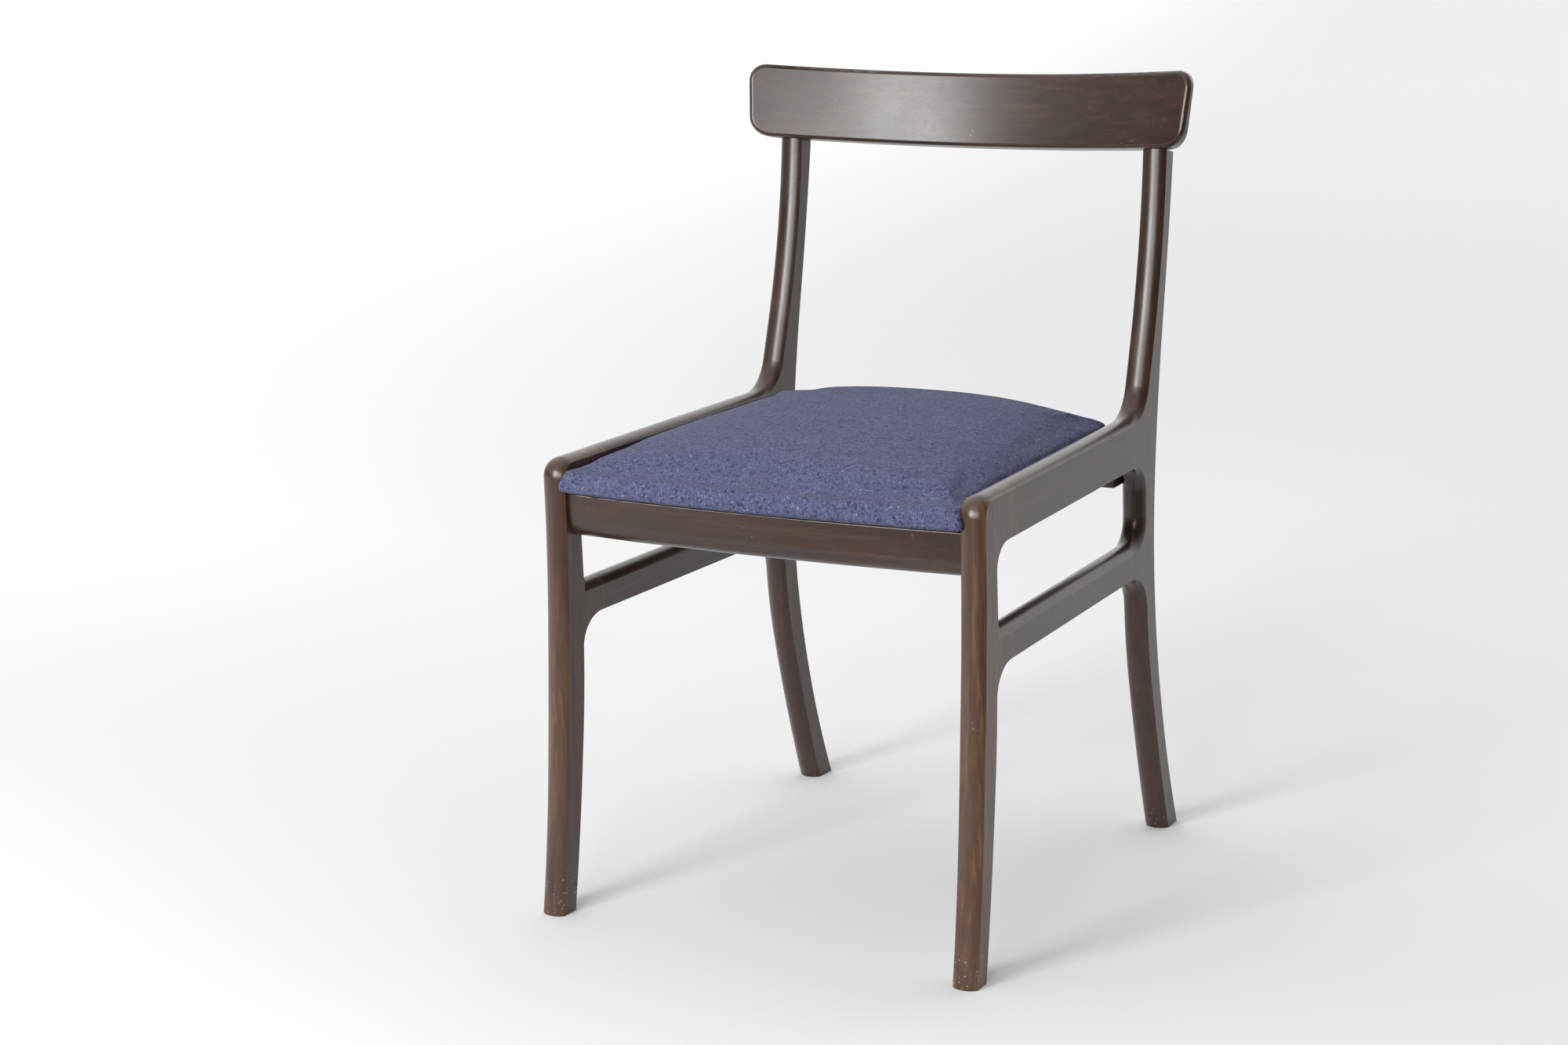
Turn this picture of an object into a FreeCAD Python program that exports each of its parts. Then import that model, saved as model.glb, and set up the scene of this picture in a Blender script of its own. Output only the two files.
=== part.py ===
import FreeCAD, Part
import math
import os

Vec = FreeCAD.Vector
os.makedirs("parts", exist_ok=True)

# Frame: millimetres, +Z up, the sitter faces -Y, -X is on the left as seen from the front.
# The origin is under the middle of the chair, on the floor.
# shiftY moves the drawing origin to the middle of the overall depth.
shiftY = -69.4

# Side frame, drawn for the +X side in a flat plane (depth s, height z)
memberWidth = 26.0
halfWidth = 240.0
toeIn = 2.1
frontFootS = -215.6
frontFootRearS = -195.0
frontKneeS = -175.2
railTopZ = 463.5
railBottomZ = 418.5
headCornerRadius = 15.0
frontHeadEndS = -103.0
rearHeadStartS = 186.0
openingFrontS = -151.7
openingRearS = 227.4
stretcherBottomZ = 301.6
stretcherArrisZ = 327.0
stretcherFrontEndS = -118.0
stretcherRearEndS = 176.0
rearFootS = 286.0
rearFootRearS = 311.0
seatCurveStartS = 194.0
seatCurveRadius = 46.0
postStartLean = 18.5
postTopZ = 738.6
postTopS = 293.5
postRearS = 312.9
lowerLegTopS = 228.6
lowerFilletReach = 28.0
lowerTurnReach = 39.6
openingTopRadius = 30.0
openingLowRadius = 33.0
openingFrontTopRadius = 26.0
openingFrontLowRadius = 8.0

# Crowns: rise of the rounded front and top faces above their side edges
crownRise = 5.0
stretcherCrownRise = 9.0
lowerLegCrownRise = 6.0

# Stock left on before the crowns are cut, and overrun beyond the floor and the crest
trim = 0.5
spare = 12.0

# Tenons in the side frame and at the top of the posts
tenonThickness = 9.0
tenonLength = 22.0
tenonShoulder = 6.0
tenonClearance = 0.1
postTenonHeight = 30.0
postTenonThickness = 8.0
postTenonWidth = 12.0
postTenonSetBack = 13.0

# Crest rail
crestOverhang = 21.4
crestHalfLength = halfWidth + crestOverhang
crestHeight = 78.8
crestThickness = 27.0
crestRadius = 640.0
crestLean = 13.5
crestEndFrontY = 262.0
crestEndBottomZ = 742.2
crestEndSlant = 5.0
crestEndGrowth = 1.5
crestEndThickness = 10.5
crestTaperLength = 61.4
crestTopCorner = 19.0
crestBottomCorner = 20.5
crestEdgeRound = 4.5

# Front and rear seat rails
frontRailEndY = -172.5
frontRailBow = 9.0
frontRailThickness = 22.0
frontRailBottomZ = 388.0
crossRailTopZ = 434.0
frontRailLowerRound = 18.0
frontRailUpperRound = 2.0
rearRailFrontY = 202.0
rearRailThickness = 24.0
rearRailBottomZ = 394.0
rearDowelInset = 17.0
dowelDiameter = 8.0
dowelLength = 36.0
dowelInset = 11.0

# Corner blocks and screws
blockLegX = 62.0
blockLegY = 48.0
blockThickness = 24.0
seatScrewDiameter = 4.5
seatScrewLength = 36.0
seatScrewShare = 0.33
blockScrewDiameter = 4.0
blockScrewShare = 0.62
blockScrewSink = 0.82
blockScrewBite = 12.0
screwHeadRatio = 2.0

# Loose seat: frame, webbing, pad, cover and lining
seatGap = 2.0
seatFrontY = -178.0
seatFrontBow = 8.0
seatRearY = 209.0
seatFrameThickness = 20.0
seatMemberWidth = 45.0
coverThickness = 1.2
liningThickness = 0.8
linedEdge = 22.0
webWidth = 50.0
webThickness = 1.6
lengthwiseWebs = 4
crosswiseWebs = 4
webPitch = 84.0
webMiddleY = 12.0
webInset = 6.0
padFrontZ = 456.0
padFrontRise = 10.0
padFrontRoll = 34.0
padCrown = 25.0
padCrownRoll = 80.0
padRearShare = 0.68
padRearRoll = 40.0
padSidePower = 2.6
padRows = 10
padColumns = 8

# A size beyond every part of the chair, for cutting shapes
beyond = 4 * halfWidth


def save(shape, node):
    moved = shape.copy()
    moved.translate(Vec(0, shiftY, 0))
    moved.exportStep("parts/" + node + ".step")


def point(s, z):
    return Vec(0, s, z)


def line(a, b):
    return Part.makeLine(a, b)


def arc(a, m, b):
    return Part.Arc(a, m, b).toShape()


def cornerArc(start, corner, end):
    # quarter-like arc that leaves start towards corner and arrives at end
    inDir = (corner - start).normalize()
    outDir = (end - corner).normalize()
    turn = inDir.getAngle(outDir)
    reach = (corner - start).Length
    radius = reach / math.tan(turn / 2)
    bisector = (outDir - inDir).normalize()
    centre = corner + bisector * (radius / math.cos(turn / 2))
    middle = centre - bisector * radius
    return arc(start, middle, end)


def slab(edges):
    face = Part.Face(Part.Wire(edges))
    return face.extrude(Vec(-memberWidth, 0, 0))


# A path is a list of steps. Each step leaves a point in a direction and bends in one arc to the next point.


def lastDirection(step):
    start, direction, end = step
    chord = (end - start).normalize()
    return chord * (2 * chord.dot(direction)) - direction


def bentThrough(points, direction):
    steps = []
    for start, end in zip(points, points[1:]):
        steps.append((start, direction, end))
        direction = lastDirection(steps[-1])
    return steps


def backwards(path):
    return [(end, lastDirection((start, direction, end)) * -1, start) for start, direction, end in reversed(path)]


def run(start, direction, length):
    return (start, direction, start + direction * length)


def turn(start, corner, outDirection):
    reach = (corner - start).Length
    return (start, (corner - start).normalize(), corner + outDirection * reach)


def square(direction):
    # a quarter turn to the left of the direction
    return Vec(0, -direction.z, direction.y)


def moved(path, distance):
    shifted = []
    for step in path:
        start, direction, end = step
        shifted.append((start + square(direction) * distance, direction, end + square(lastDirection(step)) * distance))
    return shifted


def bend(step):
    # signed turn from the start of a step to its end, in radians
    start, direction, end = step
    chord = end - start
    return 2 * math.atan2(direction.y * chord.z - direction.z * chord.y, direction.dot(chord))


def edge(step):
    start, direction, end = step
    if abs(bend(step)) < 1e-6:
        return line(start, end)
    chord = end - start
    bulge = square(chord) * (-0.5 * math.tan(bend(step) / 4))
    return arc(start, (start + end) * 0.5 + bulge, end)


def edges(path):
    return [edge(step) for step in path]


def crownCutters(path, rise, reach):
    # all that lies above a shallow round between the two side edges, to the left of the path
    half = memberWidth / 2
    radius = (half * half + rise * rise) / (2 * rise)
    over = half + 0.5
    low = rise - radius + math.sqrt(radius * radius - over * over)
    cutters = []
    for step in path:
        start, direction, end = step
        out = square(direction)

        def place(across, height):
            return start + out * height + Vec(across - half, 0, 0)

        a = place(-over, low)
        b = place(over, low)
        c = place(over, rise + reach)
        d = place(-over, rise + reach)
        section = Part.Face(Part.Wire([arc(a, place(0, rise), b), line(b, c), line(c, d), line(d, a)]))
        if abs(bend(step)) < 1e-6:
            cutters.append(section.extrude(end - start))
        else:
            centre = edge(step).Curve.Center
            cutters.append(section.revolve(centre, Vec(1, 0, 0), math.degrees(bend(step))))
    return cutters


def box(x0, x1, y0, y1, z0, z1):
    return Part.makeBox(x1 - x0, y1 - y0, z1 - z0, Vec(x0, y0, z0))


def toWorld(shape):
    placed = shape.copy()
    placed.rotate(Vec(0, 0, 0), Vec(0, 0, 1), toeIn)
    placed.translate(Vec(halfWidth, 0, 0))
    return placed


def mirrored(shape):
    return shape.mirror(Vec(0, 0, 0), Vec(1, 0, 0))


def innerFaceX(y):
    # where the inner face of the toed-in side frame stands at depth y
    toe = math.radians(toeIn)
    return halfWidth - memberWidth / math.cos(toe) - y * math.tan(toe)


# Side edges of the front face, from below the foot to above the crest rail
up = Vec(0, 0, 1)
back = Vec(0, 1, 0)
kneeZ = railTopZ - headCornerRadius
knee = point(frontKneeS, kneeZ)
frontFoot = point(frontFootS, 0)
shin = bentThrough([knee, point(-181.0, 300), point(-194.2, 150), frontFoot], up * -1)
belowFloor = run(frontFoot, lastDirection(shin[-1]), spare)
head = turn(knee, point(frontKneeS, railTopZ), back)
seatCurveStart = point(seatCurveStartS, railTopZ)
railTop = (head[2], back, seatCurveStart)

postLean = math.radians(postStartLean)
postDir = Vec(0, math.sin(postLean), math.cos(postLean))
seatReach = seatCurveRadius * math.tan((math.pi / 2 - postLean) / 2)
seatTurn = turn(seatCurveStart, point(seatCurveStartS + seatReach, railTopZ), postDir)
post = bentThrough([seatTurn[2], point(252.5, 540), point(postTopS, postTopZ)], postDir)
abovePost = run(post[-1][2], lastDirection(post[-1]), spare)
frontPath = backwards(shin + [belowFloor]) + [head, railTop, seatTurn] + post + [abovePost]
headEnd = len(shin) + 2

# Front leg with its head and the stub that takes the stretcher
stretcherTopZ = stretcherArrisZ + stretcherCrownRise
railStockZ = railTopZ + crownRise + trim
openingTopStart = point(openingFrontS + openingFrontTopRadius, railBottomZ)
openingTopCorner = point(openingFrontS, railBottomZ)
openingTopEnd = point(openingFrontS, railBottomZ - openingFrontTopRadius)
openingLowStart = point(openingFrontS, stretcherTopZ + openingFrontLowRadius)
openingLowCorner = point(openingFrontS, stretcherTopZ)
openingLowEnd = point(openingFrontS + openingFrontLowRadius, stretcherTopZ)
legFilletStart = point(openingFrontS + lowerFilletReach, stretcherBottomZ)
legFilletCorner = point(openingFrontS - 4.0, stretcherBottomZ)
calfDir = Vec(0, -0.05, -1).normalize()
calfTop = legFilletCorner + calfDir * lowerFilletReach
calf = bentThrough([calfTop, point(-163.4, 200), point(frontFootRearS, 0)], calfDir)
calf.append(run(calf[-1][2], lastDirection(calf[-1]), spare))
frontStock = moved(frontPath[:headEnd], crownRise + trim)
frontLegOutline = edges(frontStock) + [
    line(frontStock[-1][2], point(frontHeadEndS, railStockZ)),
    line(point(frontHeadEndS, railStockZ), point(frontHeadEndS, railBottomZ)),
    line(point(frontHeadEndS, railBottomZ), openingTopStart),
    cornerArc(openingTopStart, openingTopCorner, openingTopEnd),
    line(openingTopEnd, openingLowStart),
    cornerArc(openingLowStart, openingLowCorner, openingLowEnd),
    line(openingLowEnd, point(stretcherFrontEndS, stretcherTopZ)),
    line(point(stretcherFrontEndS, stretcherTopZ), point(stretcherFrontEndS, stretcherBottomZ)),
    line(point(stretcherFrontEndS, stretcherBottomZ), legFilletStart),
    cornerArc(legFilletStart, legFilletCorner, calfTop),
] + edges(calf) + [line(calf[-1][2], frontStock[0][0])]
frontLeg = slab(frontLegOutline)

# Front edge of the lower rear leg, bending into the underside of the stretcher
lowerTurnCorner = point(lowerLegTopS - 1.5, stretcherBottomZ)
lowerDir = Vec(0, 1.5, -lowerTurnReach).normalize()
lowerTop = lowerTurnCorner + lowerDir * lowerTurnReach
lower = bentThrough([lowerTop, point(238.7, 180), point(rearFootS, 0)], lowerDir)
lower.append(run(lower[-1][2], lastDirection(lower[-1]), spare))
lowerTurn = turn(lowerTop, lowerTurnCorner, back * -1)
lowerPath = backwards(lower) + [lowerTurn, run(lowerTurn[2], back * -1, spare)]

# Side edges of the rounded faces in the opening
innerLow = turn(point(openingRearS - openingLowRadius, stretcherArrisZ), point(openingRearS, stretcherArrisZ), up)
innerHigh = turn(point(openingRearS, railBottomZ - openingTopRadius), point(openingRearS, railBottomZ), back * -1)
openingPath = [
    (point(openingFrontS + 1.0, stretcherArrisZ), back, innerLow[0]),
    innerLow,
    (innerLow[2], up, innerHigh[0]),
    innerHigh,
    run(innerHigh[2], back * -1, spare),
]

# Rear leg and back post in one piece
rearStock = moved(frontPath[headEnd + 1:], crownRise + trim)
lowerStock = moved(lowerPath[:len(lower)], lowerLegCrownRise + trim)
lowerStockTop = lowerStock[-1][2]
lowerStockCorner = lowerStockTop - lowerDir * ((stretcherBottomZ - lowerStockTop.z) / -lowerDir.z)
lowerStockTurn = turn(lowerStockTop, lowerStockCorner, back * -1)
openingStock = moved([innerLow], stretcherCrownRise)[0]
openingStockX = openingStock[2].y
highStart = point(openingStockX, railBottomZ - openingTopRadius)
highStock = turn(highStart, point(openingStockX, railBottomZ), back * -1)
rearEdge = bentThrough([
    point(rearFootRearS, 0),
    point(261.1, 180),
    point(253.5, 400),
    point(279.2, 560),
    point(postRearS, postTopZ),
], Vec(0, -0.3594, 0.9332).normalize())
rearEdge = [run(rearEdge[0][0], rearEdge[0][1] * -1, spare)] + rearEdge
rearEdge[0] = backwards([rearEdge[0]])[0]
rearEdge.append(run(rearEdge[-1][2], lastDirection(rearEdge[-1]), spare))
rearLegOutline = edges(lowerStock + [lowerStockTurn]) + [
    line(lowerStockTurn[2], point(stretcherRearEndS, stretcherBottomZ)),
    line(point(stretcherRearEndS, stretcherBottomZ), point(stretcherRearEndS, stretcherTopZ)),
    line(point(stretcherRearEndS, stretcherTopZ), openingStock[0]),
    edge(openingStock),
    line(openingStock[2], highStart),
    edge(highStock),
    line(highStock[2], point(rearHeadStartS, railBottomZ)),
    line(point(rearHeadStartS, railBottomZ), point(rearHeadStartS, railStockZ)),
    line(point(rearHeadStartS, railStockZ), rearStock[0][0]),
] + edges(rearStock) + [line(rearStock[-1][2], rearEdge[-1][2])] + edges(backwards(rearEdge)) + [
    line(rearEdge[0][0], lowerStock[0][0]),
]
rearLeg = slab(rearLegOutline)

# Side rail and stretcher between the legs
sideRail = box(-memberWidth, 0, frontHeadEndS, rearHeadStartS, railBottomZ, railStockZ)
stretcher = box(-memberWidth, 0, stretcherFrontEndS, stretcherRearEndS, stretcherBottomZ, stretcherTopZ)

# Rounded front and top faces, and feet cut level with the floor
frontCrown = crownCutters(frontPath, crownRise, 2.0)
openingCrown = crownCutters(openingPath, stretcherCrownRise, 2.0)
lowerCrown = crownCutters(lowerPath, lowerLegCrownRise, 2.0)
belowFeet = box(-2 * memberWidth, memberWidth, -halfWidth * 2, halfWidth * 2, -2 * spare, 0)
frontLeg = frontLeg.cut(frontCrown + openingCrown[:1] + [belowFeet])
rearLeg = rearLeg.cut(frontCrown + openingCrown + lowerCrown + [belowFeet])
sideRail = sideRail.cut(frontCrown)
stretcher = stretcher.cut(openingCrown[:1])

# Tenons of the side rail and the stretcher, let into both legs
tenonX = -memberWidth / 2 - tenonThickness / 2


def tenonBox(s0, s1, z0, z1, grow):
    return box(tenonX - grow, tenonX + tenonThickness + grow, s0 - grow, s1 + grow, z0 - grow, z1 + grow)


railTenonLow = railBottomZ + tenonShoulder
railTenonHigh = railTopZ - tenonShoulder
stretcherTenonLow = stretcherBottomZ + tenonShoulder
stretcherTenonHigh = stretcherArrisZ - tenonShoulder / 2


def jointed(member, startS, endS, low, high):
    reach = tenonBox(startS - tenonLength, endS + tenonLength, low, high, 0)
    return member.fuse(reach)


def mortise(leg, startS, endS, low, high):
    return leg.cut(tenonBox(startS - tenonLength, endS + tenonLength, low, high, tenonClearance))


sideRail = jointed(sideRail, frontHeadEndS, rearHeadStartS, railTenonLow, railTenonHigh)
stretcher = jointed(stretcher, stretcherFrontEndS, stretcherRearEndS, stretcherTenonLow, stretcherTenonHigh)
frontLeg = mortise(frontLeg, frontHeadEndS, rearHeadStartS, railTenonLow, railTenonHigh)
frontLeg = mortise(frontLeg, stretcherFrontEndS, stretcherRearEndS, stretcherTenonLow, stretcherTenonHigh)
rearLeg = mortise(rearLeg, frontHeadEndS, rearHeadStartS, railTenonLow, railTenonHigh)
rearLeg = mortise(rearLeg, stretcherFrontEndS, stretcherRearEndS, stretcherTenonLow, stretcherTenonHigh)

# Side members in place on the +X side
frontLegRight = toWorld(frontLeg)
rearLegRight = toWorld(rearLeg)
sideRailRight = toWorld(sideRail)
stretcherRight = toWorld(stretcher)
outsideRight = toWorld(box(-memberWidth, beyond, -beyond, beyond, 0, beyond))
outsideLeft = mirrored(outsideRight)

# Crest rail: a bent board, upright in its own frame, then leaned back
endSag = crestRadius - math.sqrt(crestRadius ** 2 - crestHalfLength ** 2)
lean = math.radians(crestLean)
crestBaseY = crestEndFrontY + endSag * math.cos(lean)
crestBaseZ = crestEndBottomZ - endSag * math.sin(lean)


def toCrest(shape):
    placed = shape.copy()
    placed.rotate(Vec(0, 0, 0), Vec(1, 0, 0), -crestLean)
    placed.translate(Vec(0, crestBaseY, crestBaseZ))
    return placed


def onArc(radius, x, z):
    return Vec(x, math.sqrt(radius ** 2 - x ** 2) - crestRadius, z)


def crestBlank():
    # plan: concentric front and back arcs, thinned behind towards blunt ends
    frontR = crestRadius
    backR = crestRadius + crestThickness
    reach = crestHalfLength + crestEndGrowth + 0.5
    taperStart = onArc(backR, crestHalfLength - crestTaperLength, 0)
    endBack = onArc(frontR, reach, 0) + Vec(0, crestEndThickness, 0)
    outward = (taperStart + Vec(0, crestRadius, 0)).normalize()
    span = taperStart - endBack
    taperRadius = span.Length ** 2 / (2 * outward.dot(span))
    taperCentre = taperStart - outward * taperRadius
    halfway = ((taperStart + endBack) * 0.5 - taperCentre).normalize()
    taperMiddle = taperCentre + halfway * taperRadius

    def flip(v):
        return Vec(-v.x, v.y, v.z)

    plan = [
        arc(onArc(frontR, -reach, 0), onArc(frontR, 0, 0), onArc(frontR, reach, 0)),
        line(onArc(frontR, reach, 0), endBack),
        arc(endBack, taperMiddle, taperStart),
        arc(taperStart, onArc(backR, 0, 0), flip(taperStart)),
        arc(flip(taperStart), flip(taperMiddle), flip(endBack)),
        line(flip(endBack), onArc(frontR, -reach, 0)),
    ]
    board = Part.Face(Part.Wire(plan)).extrude(Vec(0, 0, crestHeight))
    lowRight = Vec(crestHalfLength - crestEndSlant, -crestHalfLength, 0)
    highRight = Vec(crestHalfLength + crestEndGrowth, -crestHalfLength, crestHeight)
    rise = (highRight - lowRight).normalize()
    a = lowRight - Vec(crestBottomCorner, 0, 0)
    b = lowRight + rise * crestBottomCorner
    c = highRight - rise * crestTopCorner
    d = highRight - Vec(crestTopCorner, 0, 0)
    outline = [
        line(flip(a), a),
        cornerArc(a, lowRight, b),
        line(b, c),
        cornerArc(c, highRight, d),
        line(d, flip(d)),
        cornerArc(flip(d), flip(highRight), flip(c)),
        line(flip(c), flip(b)),
        cornerArc(flip(b), flip(lowRight), flip(a)),
    ]
    face = Part.Face(Part.Wire(outline))
    return board.common(face.extrude(Vec(0, 2 * crestHalfLength, 0)))


def sharpEdges(shape):
    # edges where two faces meet at an angle, leaving out the smooth joins
    found = []
    for edge in shape.Edges:
        middle = edge.valueAt((edge.FirstParameter + edge.LastParameter) / 2)
        normals = []
        for face in shape.ancestorsOfType(edge, Part.Face):
            u, v = face.Surface.parameter(middle)
            normals.append(face.normalAt(u, v))
        if math.degrees(normals[0].getAngle(normals[1])) > 15:
            found.append(edge)
    return found


crest = crestBlank()
postTenonX = innerFaceX(postRearS) + memberWidth / 2
crest = crest.makeFillet(crestEdgeRound, sharpEdges(crest))


def postTenon(grow):
    half = postTenonWidth / 2 + grow
    deep = postTenonThickness / 2 + grow
    frontB = crestRadius - math.sqrt(crestRadius ** 2 - postTenonX ** 2)
    middleB = postTenonSetBack + postTenonThickness / 2 - frontB
    x = postTenonX
    return box(x - half, x + half, middleB - deep, middleB + deep, -spare - grow, postTenonHeight + grow)


aboveUnderside = toCrest(box(0, beyond, -beyond, beyond, 0, beyond))
rearLegRight = rearLegRight.cut(aboveUnderside).fuse(toCrest(postTenon(0)))
crest = toCrest(crest)
crest = crest.cut(toCrest(postTenon(tenonClearance)))
crest = crest.cut(mirrored(toCrest(postTenon(tenonClearance))))

# Front rail, bowed forward, and rear rail, both cut to the inner faces of the legs
railReach = halfWidth
frontRailBackY = frontRailEndY + frontRailThickness
bowWidth = innerFaceX(frontRailEndY)
bowRadius = (bowWidth ** 2 + frontRailBow ** 2) / (2 * frontRailBow)
bowCentreY = frontRailEndY - frontRailBow + bowRadius


def bowPoint(x, z):
    return Vec(x, bowCentreY - math.sqrt(bowRadius ** 2 - x ** 2), z)


frontRailPlan = [
    arc(bowPoint(-railReach, 0), bowPoint(0, 0), bowPoint(railReach, 0)),
    line(bowPoint(railReach, 0), Vec(railReach, frontRailBackY, 0)),
    line(Vec(railReach, frontRailBackY, 0), Vec(-railReach, frontRailBackY, 0)),
    line(Vec(-railReach, frontRailBackY, 0), bowPoint(-railReach, 0)),
]
frontRailHeight = crossRailTopZ - frontRailBottomZ
frontRail = Part.Face(Part.Wire(frontRailPlan)).extrude(Vec(0, 0, frontRailHeight))
frontRail.translate(Vec(0, 0, frontRailBottomZ))


def bowEdgeAt(shape, z):
    found = []
    for edge in shape.Edges:
        low = abs(edge.BoundBox.ZMin - z) < 0.01
        high = abs(edge.BoundBox.ZMax - z) < 0.01
        if low and high and edge.BoundBox.YMin < frontRailEndY - 1:
            found.append(edge)
    return found


frontRail = frontRail.makeFillet(frontRailLowerRound, bowEdgeAt(frontRail, frontRailBottomZ))
frontRail = frontRail.makeFillet(frontRailUpperRound, bowEdgeAt(frontRail, crossRailTopZ))
frontRail = frontRail.cut(outsideRight).cut(outsideLeft)
rearRailBackY = rearRailFrontY + rearRailThickness
rearRail = box(-railReach, railReach, rearRailFrontY, rearRailBackY, rearRailBottomZ, crossRailTopZ)
rearRail = rearRail.cut(outsideRight).cut(outsideLeft)

# Dowels between the cross rails and the legs
frontDowelY = frontRailEndY + dowelInset
rearDowelY = rearRailFrontY + rearDowelInset


def dowel(y, z, grow):
    start = innerFaceX(y) - dowelLength / 2 - grow
    return Part.makeCylinder(dowelDiameter / 2 + grow, dowelLength + 2 * grow, Vec(start, y, z), Vec(1, 0, 0))


frontDowelZ = (403.0, 421.0)
rearDowelZ = (407.0, 424.0)
fit = 0.05
frontHoles = [dowel(frontDowelY, z, fit) for z in frontDowelZ]
rearHoles = [dowel(rearDowelY, z, fit) for z in rearDowelZ]
for hole in frontHoles:
    frontLegRight = frontLegRight.cut(hole)
    frontRail = frontRail.cut(hole).cut(mirrored(hole))
for hole in rearHoles:
    rearLegRight = rearLegRight.cut(hole)
    rearRail = rearRail.cut(hole).cut(mirrored(hole))
frontDowels = [dowel(frontDowelY, z, 0) for z in frontDowelZ]
rearDowels = [dowel(rearDowelY, z, 0) for z in rearDowelZ]

# Corner blocks behind the cross rails, each with a screw up into the seat frame


def blockPrism(y, towards):
    # triangle with its square corner where the rail meets the side frame
    z = crossRailTopZ - blockThickness
    corner = Vec(innerFaceX(y), y, z)
    far = Vec(innerFaceX(y + towards * blockLegY), y + towards * blockLegY, z)
    inward = Vec(innerFaceX(y) - blockLegX, y, z)
    wire = Part.makePolygon([corner, far, inward, corner])
    return Part.Face(wire).extrude(Vec(0, 0, blockThickness))


def screw(diameter, length, base, direction):
    # shank and countersunk head, turned as one piece
    radius = diameter / 2
    head = radius * screwHeadRatio
    sideways = Vec(1, 0, 0)

    def rim(out, along):
        return base + sideways * out + direction * along

    profile = Part.makePolygon([base, rim(head, 0), rim(radius, head - radius), rim(radius, length), rim(0, length), base])
    return Part.Face(profile).revolve(base, direction, 360)


def blockScrews(y, towards):
    # one screw into the cross rail, set square to it, through the thin end of the block
    z = crossRailTopZ - blockThickness / 2
    x = innerFaceX(y) - blockLegX * blockScrewShare
    depth = blockLegY * (1 - blockScrewShare) * blockScrewSink
    start = Vec(x, y + towards * depth, z)
    return screw(blockScrewDiameter, depth + blockScrewBite, start, Vec(0, -towards, 0))


def seatScrew(y, towards):
    x = innerFaceX(y) - blockLegX * seatScrewShare
    start = Vec(x, y + towards * blockLegY * seatScrewShare, crossRailTopZ - blockThickness)
    return screw(seatScrewDiameter, seatScrewLength, start, Vec(0, 0, 1))


blockPlaces = {"front": (frontRailBackY, 1), "rear": (rearRailFrontY, -1)}
blocks = {}
seatScrews = []
railScrews = []
for end, (y, towards) in blockPlaces.items():
    block = blockPrism(y, towards)
    lift = seatScrew(y, towards)
    hold = blockScrews(y, towards)
    blocks[end] = block.cut(lift).cut(hold)
    seatScrews.append(lift)
    railScrews.append(hold)
frontRail = frontRail.cut(railScrews[0]).cut(mirrored(railScrews[0]))
rearRail = rearRail.cut(railScrews[1]).cut(mirrored(railScrews[1]))

# Loose seat: plan between the side frames, bowed at the front
seatFrameZ = crossRailTopZ + coverThickness
seatFrameTopZ = seatFrameZ + seatFrameThickness


def seatPlan(inset, z):
    # closed outline of the seat, drawn in from the side frames by the gap and the inset
    front = seatFrontY + inset
    rear = seatRearY - inset
    shrink = seatGap + inset
    frontX = innerFaceX(front) - shrink
    rearX = innerFaceX(rear) - shrink
    bowMiddle = Vec(0, front - seatFrontBow, z)
    return Part.Wire([
        arc(Vec(-frontX, front, z), bowMiddle, Vec(frontX, front, z)),
        line(Vec(frontX, front, z), Vec(rearX, rear, z)),
        line(Vec(rearX, rear, z), Vec(-rearX, rear, z)),
        line(Vec(-rearX, rear, z), Vec(-frontX, front, z)),
    ])


def seatSolid(inset, z0, z1):
    return Part.Face(seatPlan(inset, z0)).extrude(Vec(0, 0, z1 - z0))


frameOuter = seatSolid(coverThickness, seatFrameZ, seatFrameTopZ)
frameInner = seatSolid(coverThickness + seatMemberWidth, seatFrameZ - 1, seatFrameTopZ + 1)
frameRing = frameOuter.cut(frameInner)
frontBandY = seatFrontY + coverThickness + seatMemberWidth
rearBandY = seatRearY - coverThickness - seatMemberWidth
lapZ = seatFrameZ + seatFrameThickness / 2
topHalf = box(-beyond, beyond, -beyond, beyond, lapZ, seatFrameTopZ + 1)
bottomHalf = box(-beyond, beyond, -beyond, beyond, seatFrameZ - 1, lapZ)
frontBand = box(-beyond, beyond, -beyond, frontBandY, seatFrameZ - 1, seatFrameTopZ + 1)
rearBand = box(-beyond, beyond, rearBandY, beyond, seatFrameZ - 1, seatFrameTopZ + 1)
sideBandInner = -memberWidth - seatGap - coverThickness - seatMemberWidth
sideBand = toWorld(box(sideBandInner, -memberWidth, -beyond, beyond, seatFrameZ - 1, seatFrameTopZ + 1))
bothSides = sideBand.fuse(mirrored(sideBand))
endBands = frontBand.fuse(rearBand)
sideMember = frameRing.common(sideBand).cut(endBands.common(topHalf))
frontMember = frameRing.common(frontBand).cut(bothSides.common(bottomHalf))
rearMember = frameRing.common(rearBand).cut(bothSides.common(bottomHalf))
for lift in seatScrews:
    for hole in (lift, mirrored(lift)):
        frontMember = frontMember.cut(hole)
        rearMember = rearMember.cut(hole)
        sideMember = sideMember.cut(hole)

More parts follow.
